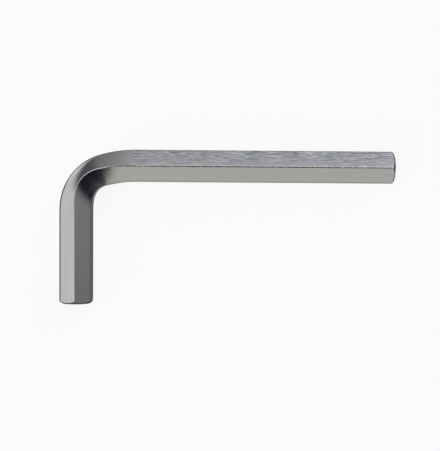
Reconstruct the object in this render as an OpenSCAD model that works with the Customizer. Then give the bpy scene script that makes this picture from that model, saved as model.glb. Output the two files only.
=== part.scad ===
// Hexagon key: one bar of hexagonal steel, bent once to a right angle.
// It lies on its side with one long edge of the bar up and one down, so that
// a flat faces the outside of the bend and a flat faces the inside.
// Millimetres, +X along the long arm, -Y along the short arm, +Z up.
// The origin is on the surface that the key lies on, under the middle of its outline.

/* [Bar] */
// Size across the flats, by which the key is sold
across_flats = 17; // [12:0.5:24]
// Radius along the six long edges
edge_r = 0.7; // [0.3:0.1:1.2]

/* [Arms] */
// Overall length along the long arm
long_arm = 178; // [100:1:260]
// Overall length along the short arm
short_arm = 82; // [60:0.5:120]

/* [Bend] */
// Centreline radius where the long arm begins to turn
lead_r = 60; // [30:1:75]
// Degrees turned at that radius
lead_turn = 16.5; // [5:0.5:30]
// Centreline radius round the middle of the bend
bend_r = 20.5; // [17:0.5:30]
// Centreline radius where the bend runs out into the short arm
exit_r = 26.5; // [18:0.5:40]
// Degrees turned at that radius
exit_turn = 13.5; // [5:0.5:30]
// How far the upper and lower edges are drawn outwards in mid bend
edge_shift = 2.4; // [0:0.1:3.5]
// How far those edges sink towards the bar's middle in mid bend
edge_sink = 0.7; // [0:0.1:1.2]
// How much the bar thins on its inner side in mid bend
inner_draw = 0.9; // [0:0.1:2]
// How much the outer flat narrows on each side in mid bend
outer_narrowing = 0.6; // [0:0.1:1.5]
// How much the inner flat widens on each side in mid bend
inner_widening = 0.7; // [0:0.1:1.2]
// How much the radius of the two outer edges grows in mid bend
outer_rounding = 3.3; // [0:0.1:4]
// Degrees by which the two outer sloping flats swell at their edges in mid bend
outer_crown = 4.5; // [0:0.5:8]
// Degrees by which the two inner sloping flats swell in the same way
inner_crown = 4; // [0:0.5:8]

/* [Ends] */
// Length of the turned chamfer at the middle of a flat
chamfer_len = 0.7; // [0.2:0.1:1.5]
// Slope of the chamfer from the end face
chamfer_angle = 35; // [25:1:50]

/* [Facets] */
// Straight sides that draw one rounded edge
edge_sides = 4; // [2:1:8]
// Strips that draw one flat that swells
crown_strips = 4; // [2:1:8]
// Stretches that draw the bend
bend_stretches = 36; // [18:1:60]

/* [Hidden] */

// Half of the size across the flats, and half of the width of one flat
half_flats = across_flats / 2;
half_side = half_flats * tan(30);

// Height of the sharp corner above the bar's axis, and of the rounded edge
sharp_corner = half_flats / cos(30);
edge_reach = sharp_corner - edge_r * (1 / cos(30) - 1);

// The whole turn, and the arcs of the centreline as [radius, from, to] in degrees
turn = 90;
arcs = [
    [lead_r, 0, lead_turn],
    [bend_r, lead_turn, turn - exit_turn],
    [exit_r, turn - exit_turn, turn]
];

// Axes of the two arms
long_axis_y = short_arm / 2 - half_flats;
short_axis_x = half_flats - long_arm / 2;

// Powers that shape how the two deformations grow towards mid bend
ridge_power = 1.25;
draw_power = 1.75;

// Which of the six flats swell, from the outer flat round to the lower outer one
can_swell = [false, true, true, false, true, true];

// Radius of the round end face, and how far the chamfer's cutter passes the bar
end_face_r = half_flats - chamfer_len / tan(chamfer_angle);
cutter_margin = 1;

function total(list) = list * [for (item = list) 1];
function unit(v) = v / norm(v);
function turned(v, a) = [v.x * cos(a) - v.y * sin(a), v.x * sin(a) + v.y * cos(a)];

// Way covered along the long arm, and down the short arm, from the start of the bend
function run_to(a) = total([for (arc = arcs) arc[0] * (sin(min(a, arc[2])) - sin(min(a, arc[1])))]);
function drop_to(a) = total([for (arc = arcs) arc[0] * (cos(min(a, arc[1])) - cos(min(a, arc[2])))]);

// Centreline at a given angle of turn
function bend_axis(a) = [short_axis_x + run_to(turn) - run_to(a), long_axis_y - drop_to(a)];

// Share of a full deformation at a given angle of turn
function share(a, power) = pow(max(0, sin(180 * a / turn)), power);

// Arc of radius r that rounds the corner b, whose sides leave it in two directions
function rounded(b, to_a, to_c, r) =
    let (
        half_corner = acos(to_a * to_c) / 2,
        inward = unit(to_a + to_c),
        centre = b + inward * r / sin(half_corner),
        sweep = 90 - half_corner
    )
    [for (i = [0 : edge_sides]) centre - turned(inward, sweep * (2 * i / edge_sides - 1)) * r];

// Points between the ends of a flat, which swells so that it slopes by so many degrees there
function swollen(from, to, slope) =
    let (way = to - from, outward = turned(way, -90))
    [
        for (i = [1 : crown_strips - 1])
            let (s = i / crown_strips)
            from + way * s + outward * tan(slope) * s * (1 - s)
    ];

// Corners of the bar's section at a given angle of turn, outwards from its axis and then upwards
function corners(a) =
    let (
        moved = share(a, ridge_power),
        drawn = share(a, draw_power),
        outer = half_flats,
        outer_z = half_side - outer_narrowing * drawn,
        ridge = edge_shift * moved,
        ridge_z = sharp_corner - edge_sink * drawn,
        inner = inner_draw * drawn - half_flats,
        inner_z = half_side + inner_widening * drawn
    )
    [
        [outer, -outer_z],
        [outer, outer_z],
        [ridge, ridge_z],
        [inner, inner_z],
        [inner, -inner_z],
        [ridge, -ridge_z]
    ];

// Radius at each of those corners, of which the first two are the outer ones
function corner_radii(a) =
    let (outer_r = edge_r + outer_rounding * share(a, draw_power))
    [outer_r, outer_r, edge_r, edge_r, edge_r, edge_r];

// Slope at the edges of each flat, from the outer flat round to the lower outer one
function flat_slopes(a) = share(a, draw_power) * [0, outer_crown, inner_crown, 0, inner_crown, outer_crown];

// The same section with its corners rounded and its sloping flats swollen
function section(a) =
    let (
        c = corners(a),
        r = corner_radii(a),
        slopes = flat_slopes(a),
        n = len(c),
        arcs = [
            for (i = [0 : n - 1])
                let (
                    last = (i + n - 1) % n,
                    to_last = turned(unit(c[last] - c[i]), slopes[last]),
                    to_next = turned(unit(c[(i + 1) % n] - c[i]), -slopes[i])
                )
                rounded(c[i], to_last, to_next, r[i])
        ]
    )
    [
        for (i = [0 : n - 1])
            each concat(
                arcs[i],
                can_swell[i] ? swollen(arcs[i][edge_sides], arcs[(i + 1) % n][0], slopes[i]) : []
            )
    ];

// One section set square to the centreline at a point and an angle of turn
function ring(centre, a) = [
    for (p = section(a))
        [centre.x - sin(a) * p.x, centre.y + cos(a) * p.x, edge_reach + p.y]
];

// The bar: its section carried from one tip, round the bend, to the other tip
module bent_bar() {
    rings = concat(
        [ring([long_arm / 2, long_axis_y], 0)],
        [for (i = [0 : bend_stretches]) let (a = turn * i / bend_stretches) ring(bend_axis(a), a)],
        [ring([short_axis_x, -short_arm / 2], turn)]
    );
    n = len(rings[0]);
    last = n * (len(rings) - 1);
    sides = [
        for (i = [0 : len(rings) - 2], j = [0 : n - 1])
            let (k = (j + 1) % n, here = i * n, next = here + n)
            each [[here + j, here + k, next + k], [here + j, next + k, next + j]]
    ];
    first_cap = [for (j = [n - 1 : -1 : 0]) j];
    last_cap = [for (j = [0 : n - 1]) last + j];
    polyhedron(points = [for (r = rings) each r], faces = concat(sides, [first_cap, last_cap]));
}

// Ring of steel that turning takes off a tip, with the end face at z = 0
module tip_chamfer() {
    outside = sharp_corner + cutter_margin;
    slope = tan(chamfer_angle);
    rotate_extrude()
        polygon([
            [end_face_r - cutter_margin / slope, cutter_margin],
            [outside, (end_face_r - outside) * slope],
            [outside, cutter_margin]
        ]);
}

module hex_key() {
    color([0.62, 0.62, 0.63])
        difference() {
            bent_bar();
            translate([long_arm / 2, long_axis_y, edge_reach])
                rotate([0, 90, 0])
                    tip_chamfer();
            translate([short_axis_x, -short_arm / 2, edge_reach])
                rotate([90, 0, 0])
                    tip_chamfer();
        }
}

hex_key();
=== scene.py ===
# Hexagon key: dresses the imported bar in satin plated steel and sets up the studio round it.
# Metres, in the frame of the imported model: +X along the long arm, -Y along the short arm, +Z up.
import math

import bpy
import numpy as np
from bpy.props import FloatProperty, FloatVectorProperty, IntProperty, PointerProperty
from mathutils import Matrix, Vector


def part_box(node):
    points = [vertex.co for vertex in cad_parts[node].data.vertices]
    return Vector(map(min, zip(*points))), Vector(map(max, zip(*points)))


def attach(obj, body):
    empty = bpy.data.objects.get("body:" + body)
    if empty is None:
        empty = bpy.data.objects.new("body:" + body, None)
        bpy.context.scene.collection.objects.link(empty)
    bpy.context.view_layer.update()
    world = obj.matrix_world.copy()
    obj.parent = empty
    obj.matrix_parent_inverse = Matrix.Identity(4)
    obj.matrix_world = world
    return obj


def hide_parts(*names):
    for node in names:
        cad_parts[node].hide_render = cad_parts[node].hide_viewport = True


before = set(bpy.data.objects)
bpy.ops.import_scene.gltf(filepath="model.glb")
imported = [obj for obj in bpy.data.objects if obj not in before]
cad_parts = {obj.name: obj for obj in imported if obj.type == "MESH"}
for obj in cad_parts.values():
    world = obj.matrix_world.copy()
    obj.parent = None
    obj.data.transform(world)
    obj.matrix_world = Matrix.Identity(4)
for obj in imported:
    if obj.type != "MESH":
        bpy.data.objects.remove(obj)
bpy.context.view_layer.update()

bl_info = {
    "name": "Hexagon Key",
    "version": (1, 0, 0),
    "blender": (4, 5, 0),
    "location": "View3D > Sidebar > Hexagon Key",
    "description": "A bent hexagon key in satin plated steel, and the studio that shows it",
    "category": "Add Mesh",
}

NODE = "hex_key"
BODY = "root"
UV_NAME = "along_and_round"

# The whole bend, and half of one corner's turn in the hexagon
TURN = math.pi / 2
HALF_CORNER_TURN = math.radians(30)

# The frame's own sizes, from which the bar's defaults come
LOW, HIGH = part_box(NODE)
EDGE_RADIUS = 0.0007
LONG_ARM = HIGH.x - LOW.x
SHORT_ARM = HIGH.y - LOW.y
EDGE_LOSS = EDGE_RADIUS * (1 / math.cos(HALF_CORNER_TURN) - 1)
ACROSS_FLATS = (HIGH.z - LOW.z + 2 * EDGE_LOSS) * math.cos(HALF_CORNER_TURN)

# Powers that shape how the section's changes grow towards mid bend
RIDGE_POWER = 1.25
DRAW_POWER = 1.75

# How far to each side the bar's directions are averaged for its shading, and from how many places
EASED_WAY = 0.002
EASED_SAMPLES = 21

# Places of the cones' and the end faces' materials, after that of the sides
CONE_MATERIAL = 1
END_FACE_MATERIAL = 2


class HEXKEY_PG_bar(bpy.types.PropertyGroup):
    """Sizes of the bar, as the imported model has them"""

    across_flats: FloatProperty(
        name="Across Flats",
        description="Width of the bar between two opposite flats",
        default=ACROSS_FLATS,
        min=0.002,
        precision=5,
        unit="LENGTH",
    )
    edge_radius: FloatProperty(
        name="Edge Radius",
        description="Radius along the six long edges",
        default=EDGE_RADIUS,
        min=0.0001,
        precision=5,
        unit="LENGTH",
    )
    long_arm: FloatProperty(
        name="Long Arm",
        description="Overall length along the long arm",
        default=LONG_ARM,
        min=0.02,
        precision=5,
        unit="LENGTH",
    )
    short_arm: FloatProperty(
        name="Short Arm",
        description="Overall length along the short arm",
        default=SHORT_ARM,
        min=0.01,
        precision=5,
        unit="LENGTH",
    )
    lead_radius: FloatProperty(
        name="Lead Radius",
        description="Centreline radius where the long arm begins to turn",
        default=0.060,
        min=0.002,
        precision=5,
        unit="LENGTH",
    )
    lead_turn: FloatProperty(
        name="Lead Turn",
        description="Angle turned at the lead radius",
        default=math.radians(16.5),
        min=0.0,
        max=TURN / 2,
        subtype="ANGLE",
    )
    bend_radius: FloatProperty(
        name="Bend Radius",
        description="Centreline radius round the middle of the bend",
        default=0.0205,
        min=0.002,
        precision=5,
        unit="LENGTH",
    )
    exit_radius: FloatProperty(
        name="Exit Radius",
        description="Centreline radius where the bend runs out into the short arm",
        default=0.0265,
        min=0.002,
        precision=5,
        unit="LENGTH",
    )
    exit_turn: FloatProperty(
        name="Exit Turn",
        description="Angle turned at the exit radius",
        default=math.radians(13.5),
        min=0.0,
        max=TURN / 2,
        subtype="ANGLE",
    )
    edge_shift: FloatProperty(
        name="Edge Shift",
        description="How far the upper and lower edges are drawn outwards in mid bend",
        default=0.0024,
        min=0.0,
        precision=5,
        unit="LENGTH",
    )
    edge_sink: FloatProperty(
        name="Edge Sink",
        description="How far those edges sink towards the bar's middle in mid bend",
        default=0.0007,
        min=0.0,
        precision=5,
        unit="LENGTH",
    )
    inner_draw: FloatProperty(
        name="Inner Draw",
        description="How much the bar thins on its inner side in mid bend",
        default=0.0009,
        min=0.0,
        precision=5,
        unit="LENGTH",
    )
    outer_narrowing: FloatProperty(
        name="Outer Narrowing",
        description="How much the outer flat narrows on each side in mid bend",
        default=0.0006,
        min=0.0,
        precision=5,
        unit="LENGTH",
    )
    inner_widening: FloatProperty(
        name="Inner Widening",
        description="How much the inner flat widens on each side in mid bend",
        default=0.0007,
        min=0.0,
        precision=5,
        unit="LENGTH",
    )
    outer_rounding: FloatProperty(
        name="Outer Rounding",
        description="How much the radius of the two outer edges grows in mid bend",
        default=0.0033,
        min=0.0,
        precision=5,
        unit="LENGTH",
    )
    outer_crown: FloatProperty(
        name="Outer Crown",
        description="Slope to which the two outer sloping flats swell at their edges in mid bend",
        default=math.radians(4.5),
        min=0.0,
        max=math.radians(12),
        subtype="ANGLE",
    )
    inner_crown: FloatProperty(
        name="Inner Crown",
        description="Slope to which the two inner sloping flats swell in the same way",
        default=math.radians(4.0),
        min=0.0,
        max=math.radians(12),
        subtype="ANGLE",
    )
    chamfer_length: FloatProperty(
        name="Chamfer Length",
        description="Length of the turned chamfer at the middle of a flat",
        default=0.0007,
        min=0.0001,
        precision=5,
        unit="LENGTH",
    )
    chamfer_angle: FloatProperty(
        name="Chamfer Angle",
        description="Slope of the chamfer from the end face",
        default=math.radians(35),
        min=math.radians(10),
        max=math.radians(70),
        subtype="ANGLE",
    )
    arc_steps: IntProperty(
        name="Edge Steps",
        description="Straight sides that draw one rounded edge",
        default=8,
        min=2,
    )
    flat_steps: IntProperty(
        name="Flat Steps",
        description="Strips across one flat",
        default=10,
        min=2,
    )
    bend_steps: IntProperty(
        name="Bend Steps",
        description="Stretches that draw the bend",
        default=120,
        min=12,
    )
    arm_pitch: FloatProperty(
        name="Arm Pitch",
        description="Length of one stretch along the straight arms",
        default=0.002,
        min=0.001,
        precision=5,
        unit="LENGTH",
    )


class HEXKEY_PG_finish(bpy.types.PropertyGroup):
    """Colours and scale of the plated finish, with its painted highlight and painted shade colours"""

    plating: FloatVectorProperty(
        name="Plating",
        description="Colour of the satin plated steel",
        default=(0.60, 0.60, 0.60),
        min=0.0,
        max=1.0,
        size=3,
        subtype="COLOR",
    )
    cool_plating: FloatVectorProperty(
        name="Cool Plating",
        description="Colour of the plating in the cooler patches of the brushed face",
        default=(0.59, 0.615, 0.655),
        min=0.0,
        max=1.0,
        size=3,
        subtype="COLOR",
    )
    # Painted highlight: a near white colour laid along the top edge of the long arm, standing in for the
    # rounded edge's highlight
    painted_highlight_colour: FloatVectorProperty(
        name="Painted Highlight",
        description="Colour where brushing has polished the margin of a face",
        default=(0.98, 0.97, 0.94),
        min=0.0,
        max=1.0,
        size=3,
        subtype="COLOR",
    )
    # Painted shade: a dark colour laid along the edges, standing in for the dark surroundings and shadowed
    # floor that the metal mirrors there
    painted_edge_shade: FloatVectorProperty(
        name="Painted Edge Shade",
        description="Colour of the thin dark line that stays along the long edges",
        default=(0.17, 0.17, 0.18),
        min=0.0,
        max=1.0,
        size=3,
        subtype="COLOR",
    )
    # Painted shade: the chamfers get a very dark colour that stands in for the shade and dark reflections
    # on them
    turned_cone_painted_shade: FloatVectorProperty(
        name="Turned Cone",
        description="Colour of the two chamfers",
        default=(0.15, 0.15, 0.155),
        min=0.0,
        max=1.0,
        size=3,
        subtype="COLOR",
    )
    end_face: FloatVectorProperty(
        name="End Face",
        description="Colour of the two flat end faces",
        default=(0.38, 0.38, 0.39),
        min=0.0,
        max=1.0,
        size=3,
        subtype="COLOR",
    )
    grazing_tint: FloatProperty(
        name="Grazing Tint",
        description="How light the metal stays where it is seen at a glancing angle",
        default=0.02,
        min=0.0,
        max=1.0,
        subtype="FACTOR",
    )
    satin_roughness: FloatProperty(
        name="Satin Roughness",
        description="Roughness of the drawn and plated faces",
        default=0.14,
        min=0.0,
        max=1.0,
        subtype="FACTOR",
    )
    brushed_roughness: FloatProperty(
        name="Brushed Roughness",
        description="Roughness of the brushed face of the long arm",
        default=0.32,
        min=0.0,
        max=1.0,
        subtype="FACTOR",
    )
    turned_roughness: FloatProperty(
        name="Turned Roughness",
        description="Roughness of the chamfers and the end faces",
        default=0.34,
        min=0.0,
        max=1.0,
        subtype="FACTOR",
    )
    scratch_length: FloatProperty(
        name="Scratch Length",
        description="Usual length of one brush mark",
        default=0.010,
        min=0.0005,
        precision=5,
        unit="LENGTH",
    )
    scratch_width: FloatProperty(
        name="Scratch Width",
        description="Usual width of one brush mark",
        default=0.00045,
        min=0.00002,
        precision=5,
        unit="LENGTH",
    )


class HEXKEY_PG_stage(bpy.types.PropertyGroup):
    """The floor, the studio's light and the camera"""

    floor_colour: FloatVectorProperty(
        name="Floor",
        description="Colour of the plain floor",
        default=(0.93, 0.93, 0.93),
        min=0.0,
        max=1.0,
        size=3,
        subtype="COLOR",
    )
    floor_size: FloatProperty(
        name="Floor Size",
        description="Side of the square floor",
        default=8.0,
        min=0.5,
        unit="LENGTH",
    )
    floor_glow: FloatProperty(
        name="Floor Glow",
        description="Share of plain white in the floor as the camera and the metal see it",
        default=0.9,
        min=0.0,
        max=1.0,
        subtype="FACTOR",
    )
    softbox_strength: FloatProperty(
        name="Softbox Strength",
        description="Brightness of the two tall softboxes, where 1 is white",
        default=1.5,
        min=0.0,
    )
    overhead_strength: FloatProperty(
        name="Overhead Strength",
        description="Brightness of the long softbox overhead, where 1 is white",
        default=1.2,
        min=0.0,
    )
    camera_place: FloatVectorProperty(
        name="Camera Place",
        description="Where the camera stands, looking down on the key",
        default=(-0.01733, 0.0240, 0.54542),
        size=3,
        subtype="TRANSLATION",
        unit="LENGTH",
    )
    camera_tilt: FloatVectorProperty(
        name="Camera Tilt",
        description="Small turns of the camera away from straight down, about Z, then Y, then X",
        default=(-0.0430, -0.0253, 0.0063),
        size=3,
        subtype="EULER",
        unit="ROTATION",
    )
    lens: FloatProperty(
        name="Lens",
        description="Focal length in millimetres on a 36 mm sensor",
        default=79.82,
        min=10.0,
    )


class BarShape:
    """Centreline and section of the bar at any angle of turn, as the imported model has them"""

    def __init__(self, bar):
        self.bar = bar
        self.half_flats = bar.across_flats / 2
        self.half_side = self.half_flats * math.tan(HALF_CORNER_TURN)
        self.sharp_corner = self.half_flats / math.cos(HALF_CORNER_TURN)
        self.edge_reach = self.sharp_corner - bar.edge_radius * (1 / math.cos(HALF_CORNER_TURN) - 1)
        self.long_axis_y = bar.short_arm / 2 - self.half_flats
        self.short_axis_x = self.half_flats - bar.long_arm / 2
        self.end_face_radius = self.half_flats - bar.chamfer_length / math.tan(bar.chamfer_angle)
        self.arcs = (
            (bar.lead_radius, 0.0, bar.lead_turn),
            (bar.bend_radius, bar.lead_turn, TURN - bar.exit_turn),
            (bar.exit_radius, TURN - bar.exit_turn, TURN),
        )

    def run_to(self, angle):
        """Way covered along the long arm from the start of the bend"""
        return sum(r * (math.sin(min(angle, b)) - math.sin(min(angle, a))) for r, a, b in self.arcs)

    def drop_to(self, angle):
        """Way covered down the short arm from the start of the bend"""
        return sum(r * (math.cos(min(angle, a)) - math.cos(min(angle, b))) for r, a, b in self.arcs)

    def way_to(self, angle):
        """Length of the centreline from the start of the bend"""
        return sum(r * (min(angle, b) - min(angle, a)) for r, a, b in self.arcs)

    def bend_axis(self, angle):
        """Point of the centreline at an angle of turn"""
        x = self.short_axis_x + self.run_to(TURN) - self.run_to(angle)
        return x, self.long_axis_y - self.drop_to(angle)

    def share(self, angle, power):
        """Share of a full change of the section at an angle of turn, which is 1 in mid bend"""
        return max(0.0, math.sin(angle * math.pi / TURN)) ** power

    def corners(self, angle):
        """Corners of the section, outwards from the centreline and then upwards"""
        bar = self.bar
        moved = self.share(angle, RIDGE_POWER)
        drawn = self.share(angle, DRAW_POWER)
        outer = self.half_flats
        outer_z = self.half_side - bar.outer_narrowing * drawn
        ridge = bar.edge_shift * moved
        ridge_z = self.sharp_corner - bar.edge_sink * drawn
        inner = bar.inner_draw * drawn - self.half_flats
        inner_z = self.half_side + bar.inner_widening * drawn
        return np.array(
            [
                (outer, -outer_z),
                (outer, outer_z),
                (ridge, ridge_z),
                (inner, inner_z),
                (inner, -inner_z),
                (ridge, -ridge_z),
            ]
        )

    def corner_radii(self, angle):
        """Radius at each of those corners, of which the first two are the outer ones"""
        outer = self.bar.edge_radius + self.bar.outer_rounding * self.share(angle, DRAW_POWER)
        return outer, outer, *[self.bar.edge_radius] * 4

    def flat_slopes(self, angle):
        """Slope at the edges of each flat, from the outer flat round to the lower outer one"""
        outer, inner = self.bar.outer_crown, self.bar.inner_crown
        return np.tan(self.share(angle, DRAW_POWER) * np.array([0.0, outer, inner, 0.0, inner, outer]))

    def section(self, angle):
        """Points and outward normals round the section, with round corners and swollen flats"""
        corners = self.corners(angle)
        sides = unit_rows(np.roll(corners, -1, axis=0) - corners)
        outwards = np.stack([sides[:, 1], -sides[:, 0]], axis=1)
        slopes = self.flat_slopes(angle)
        leaving = unit_rows(outwards * slopes[:, None] + sides)
        arriving = unit_rows(outwards * slopes[:, None] - sides)
        radii = self.corner_radii(angle)
        arcs = []
        for i, corner in enumerate(corners):
            arcs.append(self.corner_arc(corner, arriving[i - 1], leaving[i], radii[i]))
        shares = np.arange(1, self.bar.flat_steps)[:, None] / self.bar.flat_steps
        points = []
        normals = []
        for i, (arc, outward) in enumerate(arcs):
            chord = arcs[(i + 1) % len(arcs)][0][0] - arc[-1]
            swell = slopes[i] * np.linalg.norm(chord) * shares * (1 - shares)
            points += [arc, arc[-1] + chord * shares + outwards[i] * swell]
            tilt = slopes[i] * (1 - 2 * shares)
            normals += [outward, unit_rows(outwards[i] - sides[i] * tilt)]
        return np.concatenate(points), np.concatenate(normals)

    def corner_arc(self, corner, to_before, to_after, radius):
        """Points and outward normals of the arc that rounds one corner"""
        half_corner = math.acos(to_before @ to_after) / 2
        inward = (to_before + to_after) / np.linalg.norm(to_before + to_after)
        sweep = math.pi / 2 - half_corner
        turns = np.linspace(-sweep, sweep, self.bar.arc_steps + 1)
        cos, sin = np.cos(turns), np.sin(turns)
        outward = -np.stack([inward[0] * cos - inward[1] * sin, inward[0] * sin + inward[1] * cos], axis=1)
        centre = corner + inward * radius / math.sin(half_corner)
        return centre + outward * radius, outward

    def stations(self):
        """Where each ring of points stands: the centre, the angle of turn and the way along the bar"""
        bar = self.bar
        long_end, short_start = self.bend_axis(0.0), self.bend_axis(TURN)
        long_way = bar.long_arm / 2 - long_end[0]
        short_way = short_start[1] + bar.short_arm / 2
        made = []
        for share in np.linspace(0, 1, math.ceil(long_way / bar.arm_pitch) + 1)[:-1]:
            made.append((bar.long_arm / 2 - share * long_way, self.long_axis_y, 0.0, share * long_way))
        for angle in np.linspace(0, TURN, bar.bend_steps + 1):
            made.append((*self.bend_axis(angle), angle, long_way + self.way_to(angle)))
        for share in np.linspace(0, 1, math.ceil(short_way / bar.arm_pitch) + 1)[1:]:
            way = long_way + self.way_to(TURN) + share * short_way
            made.append((self.short_axis_x, short_start[1] - share * short_way, TURN, way))
        return made


def unit_rows(vectors):
    """Vectors scaled to length 1, along the last axis"""
    return vectors / np.linalg.norm(vectors, axis=-1, keepdims=True)


class BarMesh:
    """The bar's surface: rings of points from tip to tip, two turned cones and two end faces"""

    def __init__(self, shape):
        self.shape = shape
        self.stations = shape.stations()
        self.points = []
        self.faces = []
        self.uvs = []
        self.normals = []
        self.cone_faces = []
        self.end_faces = []
        self.add_sides()
        self.add_tip(ring=0, along=(1.0, 0.0, 0.0))
        self.add_tip(ring=len(self.stations) - 1, along=(0.0, -1.0, 0.0))

    def chamfer_depth(self, section):
        """How far the turned cone cuts each point of a section back from the tip"""
        radius = np.linalg.norm(section, axis=1)
        return (radius - self.shape.end_face_radius) * math.tan(self.shape.bar.chamfer_angle)

    def add_sides(self):
        """The six flats and their rounded edges, from the long arm's tip to the short arm's tip"""
        rings = []
        spokes = []
        for x, y, angle, _ in self.stations:
            section, outward = self.shape.section(angle)
            sin, cos = math.sin(angle), math.cos(angle)
            height = self.shape.edge_reach + section[:, 1]
            rings.append(np.stack([x - sin * section[:, 0], y + cos * section[:, 0], height], axis=1))
            round_the_bar = np.stack([sin * outward[:, 1], -cos * outward[:, 1], outward[:, 0]], axis=1)
            spokes.append(round_the_bar)
        rings = np.array(rings)
        lengthwise = self.eased(unit_rows(np.gradient(rings, axis=0)))
        normals = unit_rows(np.cross(lengthwise, np.array(spokes)))
        straight = self.shape.section(0.0)[0]
        rings[0, :, 0] -= self.chamfer_depth(straight)
        rings[-1, :, 1] += self.chamfer_depth(straight)
        closed = np.concatenate([straight, straight[:1]])
        self.way_round = np.concatenate([[0], np.cumsum(np.linalg.norm(np.diff(closed, axis=0), axis=1))])
        self.section_count = len(straight)
        ways = [station[3] for station in self.stations]
        self.points = list(rings.reshape(-1, 3))
        count = self.section_count
        for i in range(len(ways) - 1):
            for j in range(count):
                corners = ((i, j), (i + 1, j), (i + 1, j + 1), (i, j + 1))
                self.faces.append([ring * count + step % count for ring, step in corners])
                self.uvs += [(ways[ring], self.way_round[step]) for ring, step in corners]
                self.normals += [normals[ring, step % count] for ring, step in corners]

    def eased(self, directions):
        """Directions along the bar, averaged over a short way so that arcs meet smoothly in the shading"""
        ways = np.array([station[3] for station in self.stations])
        near = ways[:, None] + np.linspace(-EASED_WAY, EASED_WAY, EASED_SAMPLES)
        columns = directions.reshape(len(ways), -1).T
        eased = [np.interp(near, ways, column).mean(axis=1) for column in columns]
        return unit_rows(np.array(eased).T.reshape(directions.shape))

    def add_tip(self, ring, along):
        """The turned cone and the flat end face at one end of the bar"""
        x, y, angle, _ = self.stations[ring]
        section = self.shape.section(0.0)[0]
        spoke = unit_rows(section)
        across = np.array([-math.sin(angle), math.cos(angle), 0.0])
        outward = spoke[:, :1] * across + spoke[:, 1:] * np.array([0.0, 0.0, 1.0])
        along = np.array(along)
        centre = np.array([x, y, self.shape.edge_reach])
        rim_radius = self.shape.end_face_radius
        slope = self.shape.bar.chamfer_angle
        cone_normals = math.cos(slope) * along + math.sin(slope) * outward
        turns = np.append(np.unwrap(np.arctan2(spoke[:, 1], spoke[:, 0])), 0)
        turns[-1] = turns[0] + 2 * math.pi
        reach = np.append(np.linalg.norm(section, axis=1), np.linalg.norm(section[0]))
        first_rim = len(self.points)
        self.points += list(centre + outward * rim_radius)
        hub = len(self.points)
        self.points.append(centre)
        count = self.section_count
        side = ring * count
        for j in range(count):
            k = (j + 1) % count
            cone = [(side + j, reach[j], j, j), (side + k, reach[j + 1], j + 1, k)]
            cone += [(first_rim + k, rim_radius, j + 1, k), (first_rim + j, rim_radius, j, j)]
            face = [(first_rim + j, rim_radius, j), (first_rim + k, rim_radius, j + 1), (hub, 0.0, j)]
            if ring:
                cone.reverse()
                face.reverse()
            self.cone_faces.append(len(self.faces))
            self.end_faces.append(len(self.faces) + 1)
            self.faces.append([corner[0] for corner in cone])
            self.uvs += [(radius, turns[turn] * rim_radius) for _, radius, turn, _ in cone]
            self.normals += [cone_normals[spoke_index] for *_, spoke_index in cone]
            self.faces.append([corner[0] for corner in face])
            self.uvs += [(radius, turns[turn] * rim_radius) for _, radius, turn in face]
            self.normals += [along] * len(face)

    def edge_way(self, corner, share):
        """Way round the bar to a share of the arc at one corner of the section"""
        bar = self.shape.bar
        first = corner * (bar.arc_steps + bar.flat_steps)
        start, end = self.way_round[first], self.way_round[first + bar.arc_steps]
        return start + share * (end - start)

    def build(self, name):
        """The mesh with its map and its own normals"""
        mesh = bpy.data.meshes.new(name)
        mesh.from_pydata(self.points, [], self.faces)
        layer = mesh.uv_layers.new(name=UV_NAME)
        layer.uv.foreach_set("vector", np.array(self.uvs, np.float32).ravel())
        mesh.polygons.foreach_set("use_smooth", [True] * len(mesh.polygons))
        for index in self.cone_faces:
            mesh.polygons[index].material_index = CONE_MATERIAL
        for index in self.end_faces:
            mesh.polygons[index].material_index = END_FACE_MATERIAL
        mesh.normals_split_custom_set([tuple(normal) for normal in self.normals])
        mesh.update()
        return mesh


# How the nodes of a material are laid out
NODES_IN_ROW = 12
NODE_WIDTH = 180
NODE_HEIGHT = 220


def add_node(tree, kind, inputs=None, **settings):
    """Adds a node, with its settings, its input values and its links from other nodes' outputs"""
    made = tree.nodes.new(kind)
    row, column = divmod(len(tree.nodes), NODES_IN_ROW)
    made.location = (NODE_WIDTH * column, -NODE_HEIGHT * row)
    for name, value in settings.items():
        setattr(made, name, value)
    for name, value in (inputs or {}).items():
        if isinstance(value, bpy.types.NodeSocket):
            tree.links.new(value, made.inputs[name])
        else:
            made.inputs[name].default_value = value
    return made


def calculate(tree, operation, first, second=0.0):
    """Output of a Math node"""
    return add_node(tree, "ShaderNodeMath", {0: first, 1: second}, operation=operation).outputs[0]


def ease(tree, value, start, end, low=0.0, high=1.0):
    """Output that eases from low at start to high at end"""
    limits = {"Value": value, "From Min": start, "From Max": end, "To Min": low, "To Max": high}
    return add_node(tree, "ShaderNodeMapRange", limits, interpolation_type="SMOOTHSTEP").outputs["Result"]


def vary(tree, noise, middle, reach, spread=0.2):
    """Output that a noise of about 0.5, give or take its spread, moves to both sides of a middle value"""
    return ease(tree, noise, 0.5 - spread, 0.5 + spread, middle - reach, middle + reach)


def mix_colours(tree, share, first, second):
    """Output that mixes two colours"""
    made = add_node(tree, "ShaderNodeMix", data_type="RGBA")
    for index, value in ((0, share), (6, first), (7, second)):
        if isinstance(value, bpy.types.NodeSocket):
            tree.links.new(value, made.inputs[index])
        elif index:
            made.inputs[index].default_value = (*value, 1.0)
        else:
            made.inputs[index].default_value = value
    return made.outputs[2]


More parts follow.
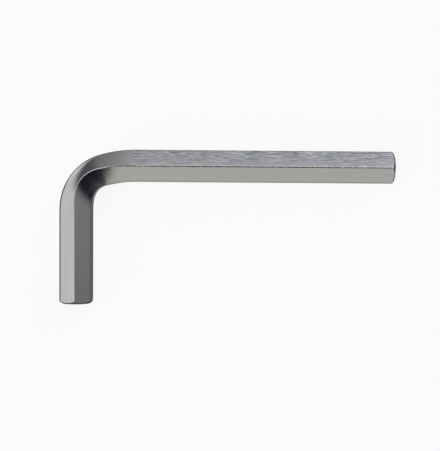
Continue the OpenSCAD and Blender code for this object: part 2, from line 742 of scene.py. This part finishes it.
def streaks(tree, ways, length, width, detail=2.0):
    """Noise drawn out along the bar, with marks of about this length and width"""
    scaled = add_node(
        tree,
        "ShaderNodeVectorMath",
        {0: ways, 1: (1 / length, 1 / width, 1.0)},
        operation="MULTIPLY",
    )
    noise = add_node(
        tree,
        "ShaderNodeTexNoise",
        {"Vector": scaled.outputs["Vector"], "Scale": 1.0, "Detail": detail, "Roughness": 0.6},
        noise_dimensions="2D",
    )
    return noise.outputs["Fac"]


def scale_colour(tree, colour, factor):
    """Output with a colour made lighter or darker"""
    made = add_node(tree, "ShaderNodeVectorMath", {0: colour, 3: factor}, operation="SCALE")
    return made.outputs["Vector"]


def new_metal(name, finish):
    """A bare metal material, as (material, tree, shader)"""
    material = bpy.data.materials.new(name)
    material.use_nodes = True
    tree = material.node_tree
    shader = next(node for node in tree.nodes if node.type == "BSDF_PRINCIPLED")
    shader.inputs["Metallic"].default_value = 1.0
    shader.inputs["Specular Tint"].default_value = (*[finish.grazing_tint] * 3, 1.0)
    return material, tree, shader


def raise_marks(tree, shader, height, strength):
    """Gives the surface the relief of its marks"""
    relief = {"Height": height, "Strength": strength, "Distance": MARK_DEPTH}
    bump = add_node(tree, "ShaderNodeBump", relief)
    tree.links.new(bump.outputs["Normal"], shader.inputs["Normal"])


# Sizes of the marks on the bar's sides in metres, as (length along the bar, width round it)
PATCH_SIZE = (0.012, 0.003)
COOL_PATCH_SIZE = (0.009, 0.0022)
DRAWN_LINE_SIZE = (0.05, 0.0008)
LINE_BREAK_SIZE = (0.0025, 0.01)

# Size of a ring that the lathe left, as (width out from the bar's axis, length round it)
RING_SIZE = (0.00012, 0.02)

# The finer brush marks against the usual ones, and their share in the sum of both
FINE_SHORTER = 2.5
FINE_NARROWER = 0.7
FINE_SHARE = 0.45

# How far each kind of mark makes the colour lighter or darker
BRUSHED_CONTRAST = 0.4
PATCH_CONTRAST = 0.04
DRAWN_LINE_CONTRAST = 0.033
RING_CONTRAST = 0.15

# From the brushed face's outer edge to the top edge: how strong its marks are, and how its tone shifts
CONTRAST_ACROSS = (1.4, 0.55)
TONE_ACROSS = (-0.03, 0.05)

# How far to each side of 0.5 the noise of the brushing spreads, and where a cool patch begins in its own
MARK_SPREAD = 0.15
COOL_PATCH_EDGE = (0.45, 0.65)

# How far the roughness varies on each surface
SATIN_ROUGHNESS_REACH = 0.03
BRUSHED_ROUGHNESS_REACH = 0.08
TURNED_ROUGHNESS_REACH = 0.06

# Height of the relief in metres, and the strengths at which the marks have it
MARK_DEPTH = 0.00001
BRUSHED_RELIEF = 0.6
DRAWN_LINE_RELIEF = 0.15
RING_RELIEF = 0.5

# Between which places the brushing and the painted shade top line come in, in metres past the bend's start
BRUSHING_FADE = (0.010, -0.004)
TOP_LINE_FADE = (0.020, 0.008)

# Soft edges of the brushed face and of the two lines at the top edge, the painted highlight and the painted
# shade, in metres
FACE_EDGE = 0.0003
MARGIN_EDGE = 0.0001
TOP_LINE_EDGE = 0.0002

# How far the painted highlight margin wavers, and how far it lies to each side of the face's end, in metres
MARGIN_WAVER = 0.0014
MARGIN_BELOW = 0.00025
MARGIN_ABOVE = 0.0005

# How far the painted shade of the dark top line starts before the middle of its edge, its width and how far
# it wavers, in metres
TOP_LINE_SHIFT = 0.0001
TOP_LINE_WIDTH = 0.00065
TOP_LINE_WAVER = 0.0006

# How dark that painted shade line is, how much of it is left at a break, and where a break begins in its
# noise
TOP_LINE_STRENGTH = 0.88
BROKEN_STRENGTH = 0.2
BREAK_EDGE = (0.4, 0.5)

# How much of its edge the painted shade of the outer side line covers on the long arm and in the bend,
# between which places past the bend's start it changes, how much more it covers past the bend, and how far
# before the bend's end that begins
LONG_ARM_REACH = 0.85
BEND_REACH = 0.62
LEAD_FADE = (0.020, 0.027)
EXIT_GROWTH = 1.1
EXIT_FADE = 0.015

# The painted shade of the inner side line covers the whole of its edge, with these strengths on the long
# and the short arm
INNER_REACH = 1.4
INNER_STRENGTHS = (0.42, 0.8)

# Soft edges of the painted shade side lines, as shares of the rounded edge
REACH_EDGE = 0.1
FLAT_EDGE = 0.3


class PlatedFinish:
    """Where the marks of the satin plated steel lie, along the bar and round it, and where its painted
    highlight and painted shade lines lie
    """

    def __init__(self, tree, finish, shape, mesh):
        self.tree = tree
        self.mesh = mesh
        self.ways = add_node(tree, "ShaderNodeUVMap", uv_map=UV_NAME).outputs["UV"]
        split = add_node(tree, "ShaderNodeSeparateXYZ", {"Vector": self.ways})
        self.along = split.outputs["X"]
        self.around = split.outputs["Y"]
        self.bend_start = shape.bar.long_arm / 2 - shape.bend_axis(0.0)[0]
        self.bend_end = self.bend_start + shape.way_to(TURN)
        self.on_long_arm = self.fading(BRUSHING_FADE)
        self.face_start = mesh.edge_way(1, 1.0)
        self.face_end = mesh.edge_way(2, 0.0)
        length, width = finish.scratch_length, finish.scratch_width
        self.marks = self.both(
            streaks(tree, self.ways, length, width, detail=3.0),
            streaks(tree, self.ways, length / FINE_SHORTER, width * FINE_NARROWER),
        )
        self.patches = streaks(tree, self.ways, *PATCH_SIZE)
        self.cool_patches = streaks(tree, self.ways, *COOL_PATCH_SIZE)
        self.drawn_lines = streaks(tree, self.ways, *DRAWN_LINE_SIZE)

    def both(self, coarse, fine):
        """Two noises in one, the coarse one somewhat stronger"""
        coarse_part = calculate(self.tree, "MULTIPLY", coarse, 1 - FINE_SHARE)
        return calculate(self.tree, "ADD", coarse_part, calculate(self.tree, "MULTIPLY", fine, FINE_SHARE))

    def fading(self, places):
        """0 at the first of two places past the bend's start, 1 at the second, and on from there"""
        return ease(self.tree, self.along, self.bend_start + places[0], self.bend_start + places[1])

    def band(self, value, start, end, edge):
        """1 between start and end, 0 outside them"""
        rising = ease(self.tree, value, start - edge, start + edge)
        return calculate(self.tree, "MULTIPLY", rising, ease(self.tree, value, end + edge, end - edge))

    def wavering(self, value, reach):
        """A place round the bar that wavers by the brush marks"""
        waver = calculate(self.tree, "MULTIPLY", calculate(self.tree, "SUBTRACT", self.marks, 0.5), reach)
        return calculate(self.tree, "ADD", value, waver)

    def brushed_face(self):
        """Upper outer face of the long arm"""
        face = self.band(self.around, self.face_start, self.face_end, FACE_EDGE)
        return calculate(self.tree, "MULTIPLY", face, self.on_long_arm)

    def across_face(self, at_outer_edge, at_top_edge):
        """A value that eases across the brushed face, from its outer edge to the top edge"""
        return ease(self.tree, self.around, self.face_start, self.face_end, at_outer_edge, at_top_edge)

    def painted_highlight_line(self):
        """Painted highlight: ragged light line where the brushed face meets the top edge"""
        place = self.wavering(self.around, MARGIN_WAVER)
        start, end = self.face_end - MARGIN_BELOW, self.face_end + MARGIN_ABOVE
        line = self.band(place, start, end, MARGIN_EDGE)
        return calculate(self.tree, "MULTIPLY", line, self.on_long_arm)

    def painted_top_shade(self):
        """Painted shade: dark line on the inner side of the top edge of the long arm, with breaks"""
        line_start = self.mesh.edge_way(2, 0.5) - TOP_LINE_SHIFT
        place = self.wavering(self.around, TOP_LINE_WAVER)
        line = self.band(place, line_start, line_start + TOP_LINE_WIDTH, TOP_LINE_EDGE)
        breaks = streaks(self.tree, self.ways, *LINE_BREAK_SIZE)
        left = ease(self.tree, breaks, *BREAK_EDGE, BROKEN_STRENGTH, 1.0)
        broken_line = calculate(self.tree, "MULTIPLY", line, left)
        extent = calculate(self.tree, "MULTIPLY", self.fading(TOP_LINE_FADE), TOP_LINE_STRENGTH)
        return calculate(self.tree, "MULTIPLY", broken_line, extent)

    def painted_side_shade(self):
        """Painted shade: dark lines along the four side edges, which keep to the outline round the bend"""
        lead_start, lead_end = (self.bend_start + place for place in LEAD_FADE)
        lead = ease(self.tree, self.along, lead_start, lead_end, LONG_ARM_REACH, BEND_REACH)
        growth = ease(self.tree, self.along, self.bend_end - EXIT_FADE, self.bend_end, 0.0, EXIT_GROWTH)
        outer_reach = calculate(self.tree, "ADD", lead, growth)
        inner_strength = ease(self.tree, self.along, self.bend_start, self.bend_end, *INNER_STRENGTHS)
        total = 0.0
        outer, inner = (outer_reach, 1.0), (INNER_REACH, inner_strength)
        edges = ((0, 1, outer), (1, 0, outer), (3, 1, inner), (4, 0, inner))
        for corner, inwards, (reach, strength) in edges:
            flat_side = self.mesh.edge_way(corner, inwards)
            arc = self.mesh.edge_way(corner, 1 - inwards) - flat_side
            past_side = calculate(self.tree, "SUBTRACT", self.around, flat_side)
            share = calculate(self.tree, "DIVIDE", past_side, arc)
            past_reach = calculate(self.tree, "SUBTRACT", share, reach)
            covered = ease(self.tree, past_reach, REACH_EDGE, -REACH_EDGE, 0.0, strength)
            line = calculate(self.tree, "MULTIPLY", covered, ease(self.tree, share, -FLAT_EDGE, 0.0))
            total = calculate(self.tree, "ADD", line, total)
        return total


def satin_plated_steel(finish, shape, mesh):
    """Drawn and plated bar, brushed on one face of the long arm, with painted shade lines along its edges
    and a painted highlight at the top edge
    """
    material, tree, shader = new_metal("satin_plated_steel", finish)
    plated = PlatedFinish(tree, finish, shape, mesh)
    brushed = plated.brushed_face()

    marks_tone = vary(tree, plated.marks, 0.0, BRUSHED_CONTRAST, MARK_SPREAD)
    weighed_marks = calculate(tree, "MULTIPLY", marks_tone, plated.across_face(*CONTRAST_ACROSS))
    brushed_tone = calculate(tree, "ADD", weighed_marks, plated.across_face(*TONE_ACROSS))
    patch_tone = vary(tree, plated.patches, 0.0, PATCH_CONTRAST, MARK_SPREAD)
    face_tone = calculate(tree, "MULTIPLY", calculate(tree, "ADD", brushed_tone, patch_tone), brushed)
    line_tone = vary(tree, plated.drawn_lines, 1.0, DRAWN_LINE_CONTRAST)
    tone = calculate(tree, "ADD", line_tone, face_tone)

    coolness = calculate(tree, "MULTIPLY", ease(tree, plated.cool_patches, *COOL_PATCH_EDGE), brushed)
    colour = mix_colours(tree, coolness, finish.plating, finish.cool_plating)
    colour = scale_colour(tree, colour, tone)
    # A painted highlight along the top edge, then painted shade on the top line and along the side edges
    colour = mix_colours(tree, plated.painted_highlight_line(), colour, finish.painted_highlight_colour)
    colour = mix_colours(tree, plated.painted_top_shade(), colour, finish.painted_edge_shade)
    colour = mix_colours(tree, plated.painted_side_shade(), colour, finish.painted_edge_shade)
    tree.links.new(colour, shader.inputs["Base Color"])

    satin = vary(tree, plated.drawn_lines, finish.satin_roughness, SATIN_ROUGHNESS_REACH)
    rough = vary(tree, plated.marks, finish.brushed_roughness, BRUSHED_ROUGHNESS_REACH)
    roughness = add_node(tree, "ShaderNodeMix", {0: brushed, 2: satin, 3: rough})
    tree.links.new(roughness.outputs[0], shader.inputs["Roughness"])

    brushed_relief = calculate(tree, "MULTIPLY", plated.marks, brushed)
    drawn_relief = calculate(tree, "MULTIPLY", plated.drawn_lines, DRAWN_LINE_RELIEF)
    raise_marks(tree, shader, calculate(tree, "ADD", brushed_relief, drawn_relief), BRUSHED_RELIEF)
    return material


def turned_steel(name, colour, finish):
    """A surface as the lathe left it, with fine rings round the bar's axis"""
    material, tree, shader = new_metal(name, finish)
    ways = add_node(tree, "ShaderNodeUVMap", uv_map=UV_NAME).outputs["UV"]
    rings = streaks(tree, ways, *RING_SIZE)
    tone = vary(tree, rings, 1.0, RING_CONTRAST)
    tree.links.new(scale_colour(tree, tuple(colour), tone), shader.inputs["Base Color"])
    roughness = vary(tree, rings, finish.turned_roughness, TURNED_ROUGHNESS_REACH)
    tree.links.new(roughness, shader.inputs["Roughness"])
    raise_marks(tree, shader, rings, RING_RELIEF)
    return material


def floor_card(colour, glow):
    """Plain matt floor, which the camera and the metal see whiter than it is"""
    material = bpy.data.materials.new("floor_card")
    material.use_nodes = True
    tree = material.node_tree
    tree.nodes.clear()
    matt = add_node(tree, "ShaderNodeBsdfDiffuse", {"Color": (*colour, 1.0)})
    white = add_node(tree, "ShaderNodeEmission", {"Color": (1.0, 1.0, 1.0, 1.0), "Strength": 1.0})
    path = add_node(tree, "ShaderNodeLightPath").outputs
    mirrored = calculate(tree, "MAXIMUM", path["Is Glossy Ray"], path["Is Transmission Ray"])
    seen = calculate(tree, "MAXIMUM", path["Is Camera Ray"], mirrored)
    share = calculate(tree, "MULTIPLY", seen, glow)
    mixed = add_node(tree, "ShaderNodeMixShader", {0: share, 1: matt.outputs[0], 2: white.outputs[0]})
    add_node(tree, "ShaderNodeOutputMaterial", {"Surface": mixed.outputs[0]})
    return material


# Cards that stand round the key, as (degrees anticlockwise from +X, colour)
CARDS = (
    (-180, (0.79, 0.79, 0.81)),
    (-165, (0.78, 0.78, 0.79)),
    (-106, (0.62, 0.62, 0.60)),
    (-100, (0.30, 0.30, 0.30)),
    (-94, (0.035, 0.035, 0.04)),
    (-84, (0.045, 0.045, 0.05)),
    (-76, (0.065, 0.065, 0.07)),
    (-68, (0.085, 0.08, 0.095)),
    (-60, (0.13, 0.125, 0.14)),
    (-54, (0.09, 0.085, 0.10)),
    (-46, (0.055, 0.05, 0.07)),
    (-38, (0.028, 0.025, 0.038)),
    (-31, (0.022, 0.02, 0.03)),
    (-24, (0.065, 0.06, 0.075)),
    (-14, (0.175, 0.175, 0.18)),
    (-4, (0.275, 0.27, 0.27)),
    (15, (0.28, 0.275, 0.275)),
    (60, (0.505, 0.51, 0.56)),
    (90, (0.515, 0.52, 0.55)),
    (95, (0.52, 0.52, 0.55)),
    (99, (0.38, 0.38, 0.38)),
    (108, (0.28, 0.28, 0.28)),
    (117, (0.20, 0.20, 0.20)),
    (124, (0.15, 0.15, 0.15)),
    (130, (0.42, 0.42, 0.43)),
    (138, (0.60, 0.60, 0.61)),
    (150, (0.76, 0.76, 0.78)),
    (157, (0.82, 0.82, 0.84)),
    (164, (0.84, 0.84, 0.86)),
    (174, (0.82, 0.82, 0.83)),
)

# Panels in front of those cards, each over the one before, as (name, azimuth, elevation, half width,
# half height, soft edge) in degrees, then how many degrees it rises for each degree to its left
PANELS = (
    ("ceiling", 0, 90, 200, 30, 5, 0.0),
    ("overhead_softbox", 138, 65, 28, 16, 5, 0.0),
    ("right_softbox", 38, 47, 22, 33, 5, 0.0),
    ("near_softbox", -143, 48, 22, 34, 5, 0.0),
    ("far_flag", 143, 26, 23, 18.5, 6, 0.57),
    ("left_flag", -82, 70, 24, 26, 6, 0.28),
    ("right_flag", -42, 76, 21, 24, 6, 0.0),
    ("near_card", -90, 20, 22, 18.8, 1.5, 0.0),
)


# Elevations in degrees between which the cards give way to the floor's pale horizon
HORIZON_EDGE = (5, 1)
HORIZON_COLOUR = (0.95, 0.95, 0.95)


def panel_mask(tree, direction, azimuth, elevation, half_width, half_height, edge, slope):
    """How much of a panel lies in a direction: 1 on the panel, 0 beside it, with a soft edge"""
    turned = add_node(
        tree,
        "ShaderNodeVectorRotate",
        {"Vector": direction, "Angle": -math.radians(azimuth)},
        rotation_type="Z_AXIS",
    )
    parts = add_node(tree, "ShaderNodeSeparateXYZ", {"Vector": turned.outputs["Vector"]})
    aside = calculate(tree, "ARCTAN2", parts.outputs["Y"], parts.outputs["X"])
    rise = calculate(tree, "ARCSINE", parts.outputs["Z"])
    middle = calculate(tree, "ADD", calculate(tree, "MULTIPLY", aside, slope), math.radians(elevation))
    away = calculate(tree, "ABSOLUTE", calculate(tree, "SUBTRACT", rise, middle))
    aside = calculate(tree, "ABSOLUTE", aside)
    across = ease(tree, aside, math.radians(half_width + edge), math.radians(half_width - edge))
    upright = ease(tree, away, math.radians(half_height + edge), math.radians(half_height - edge))
    return calculate(tree, "MULTIPLY", across, upright)


def ring_of_cards(tree, direction):
    """Colour of the card that stands in a direction"""
    parts = add_node(tree, "ShaderNodeSeparateXYZ", {"Vector": direction})
    azimuth = calculate(tree, "ARCTAN2", parts.outputs["Y"], parts.outputs["X"])
    limits = {"Value": azimuth, "From Min": -math.pi, "From Max": math.pi}
    share = add_node(tree, "ShaderNodeMapRange", limits).outputs["Result"]
    ramp = add_node(tree, "ShaderNodeValToRGB", {"Fac": share})
    elements = ramp.color_ramp.elements
    elements.remove(elements[-1])
    for index, (degrees, colour) in enumerate(CARDS):
        place = (degrees + 180) / 360
        element = elements[0] if index == 0 else elements.new(place)
        element.position = place
        element.color = (*colour, 1.0)
    return ramp.outputs["Color"]


def studio_world(stage):
    """Soft studio light: cards all round the key, the panels before them and a pale horizon"""
    world = bpy.data.worlds.new("studio")
    world.use_nodes = True
    tree = world.node_tree
    tree.nodes.clear()
    direction = add_node(tree, "ShaderNodeTexCoord").outputs["Generated"]
    colours = {
        "ceiling": (0.40, 0.40, 0.41),
        "overhead_softbox": (stage.overhead_strength,) * 3,
        "right_softbox": (stage.softbox_strength,) * 3,
        "near_softbox": (stage.softbox_strength,) * 3,
        "far_flag": (0.10, 0.098, 0.108),
        "left_flag": (0.012, 0.010, 0.022),
        "right_flag": (0.012, 0.010, 0.022),
        "near_card": (0.615, 0.61, 0.58),
    }
    level = ring_of_cards(tree, direction)
    for name, *place in PANELS:
        level = mix_colours(tree, panel_mask(tree, direction, *place), level, colours[name])

    height = add_node(tree, "ShaderNodeSeparateXYZ", {"Vector": direction}).outputs["Z"]
    top, foot = (math.sin(math.radians(degrees)) for degrees in HORIZON_EDGE)
    level = mix_colours(tree, ease(tree, height, top, foot), level, HORIZON_COLOUR)
    background = add_node(tree, "ShaderNodeBackground", {"Color": level, "Strength": 1.0})
    add_node(tree, "ShaderNodeOutputWorld", {"Surface": background.outputs["Background"]})
    return world


class HEXKEY_OT_bar(bpy.types.Operator):
    """Builds the bent bar and its finish in place of the plain solid"""

    bl_idname = "hex_key.bar"
    bl_label = "Bent Bar"

    def execute(self, context):
        scene = context.scene
        shape = BarShape(scene.hex_key_bar)
        mesh = BarMesh(shape)
        bar = bpy.data.objects.new("bent_bar", mesh.build("bent_bar"))
        scene.collection.objects.link(bar)
        finish = scene.hex_key_finish
        bar.data.materials.append(satin_plated_steel(finish, shape, mesh))
        # The cones' dark colour is painted shade; their rings are the lathe's own marks
        bar.data.materials.append(turned_steel("turned_cone_painted_shade", finish.turned_cone_painted_shade, finish))
        bar.data.materials.append(turned_steel("end_face", finish.end_face, finish))
        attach(bar, BODY)
        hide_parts(NODE)
        return {"FINISHED"}


class HEXKEY_OT_stage(bpy.types.Operator):
    """Lays the floor, sets the studio's light and stands the camera over the key"""

    bl_idname = "hex_key.stage"
    bl_label = "Stage"

    def execute(self, context):
        scene = context.scene
        stage = scene.hex_key_stage
        half = stage.floor_size / 2
        mesh = bpy.data.meshes.new("floor")
        corners = [(-half, -half, 0), (half, -half, 0), (half, half, 0), (-half, half, 0)]
        mesh.from_pydata(corners, [], [(0, 1, 2, 3)])
        mesh.materials.append(floor_card(stage.floor_colour, stage.floor_glow))
        floor = bpy.data.objects.new("floor", mesh)
        scene.collection.objects.link(floor)

        scene.world = studio_world(stage)
        scene.view_settings.view_transform = "Standard"

        lens = bpy.data.cameras.new("camera")
        lens.lens = stage.lens
        lens.sensor_width = 36
        camera = bpy.data.objects.new("camera", lens)
        camera.location = stage.camera_place
        camera.rotation_mode = "ZYX"
        camera.rotation_euler = stage.camera_tilt
        scene.collection.objects.link(camera)
        scene.camera = camera
        return {"FINISHED"}


class HEXKEY_PT_key(bpy.types.Panel):
    """Sizes, finish and stage of the hexagon key"""

    bl_idname = "HEXKEY_PT_key"
    bl_label = "Hexagon Key"
    bl_space_type = "VIEW_3D"
    bl_region_type = "UI"
    bl_category = "Hexagon Key"

    def draw(self, context):
        groups = (
            ("Bar", context.scene.hex_key_bar, HEXKEY_OT_bar),
            ("Finish", context.scene.hex_key_finish, None),
            ("Stage", context.scene.hex_key_stage, HEXKEY_OT_stage),
        )
        for title, group, operator in groups:
            box = self.layout.box()
            box.label(text=title)
            for name in type(group).__annotations__:
                box.prop(group, name)
            if operator:
                box.operator(operator.bl_idname)


CLASSES = (
    HEXKEY_PG_bar,
    HEXKEY_PG_finish,
    HEXKEY_PG_stage,
    HEXKEY_OT_bar,
    HEXKEY_OT_stage,
    HEXKEY_PT_key,
)


def register():
    """Registers the classes and gives each scene the key's settings"""
    for each in CLASSES:
        bpy.utils.register_class(each)
    bpy.types.Scene.hex_key_bar = PointerProperty(type=HEXKEY_PG_bar)
    bpy.types.Scene.hex_key_finish = PointerProperty(type=HEXKEY_PG_finish)
    bpy.types.Scene.hex_key_stage = PointerProperty(type=HEXKEY_PG_stage)


def unregister():
    """Takes the settings and the classes away again"""
    del bpy.types.Scene.hex_key_stage
    del bpy.types.Scene.hex_key_finish
    del bpy.types.Scene.hex_key_bar
    for each in reversed(CLASSES):
        bpy.utils.unregister_class(each)


def main():
    """Builds the whole scene"""
    register()
    bpy.ops.hex_key.bar()
    bpy.ops.hex_key.stage()


if __name__ == "__main__":
    main()
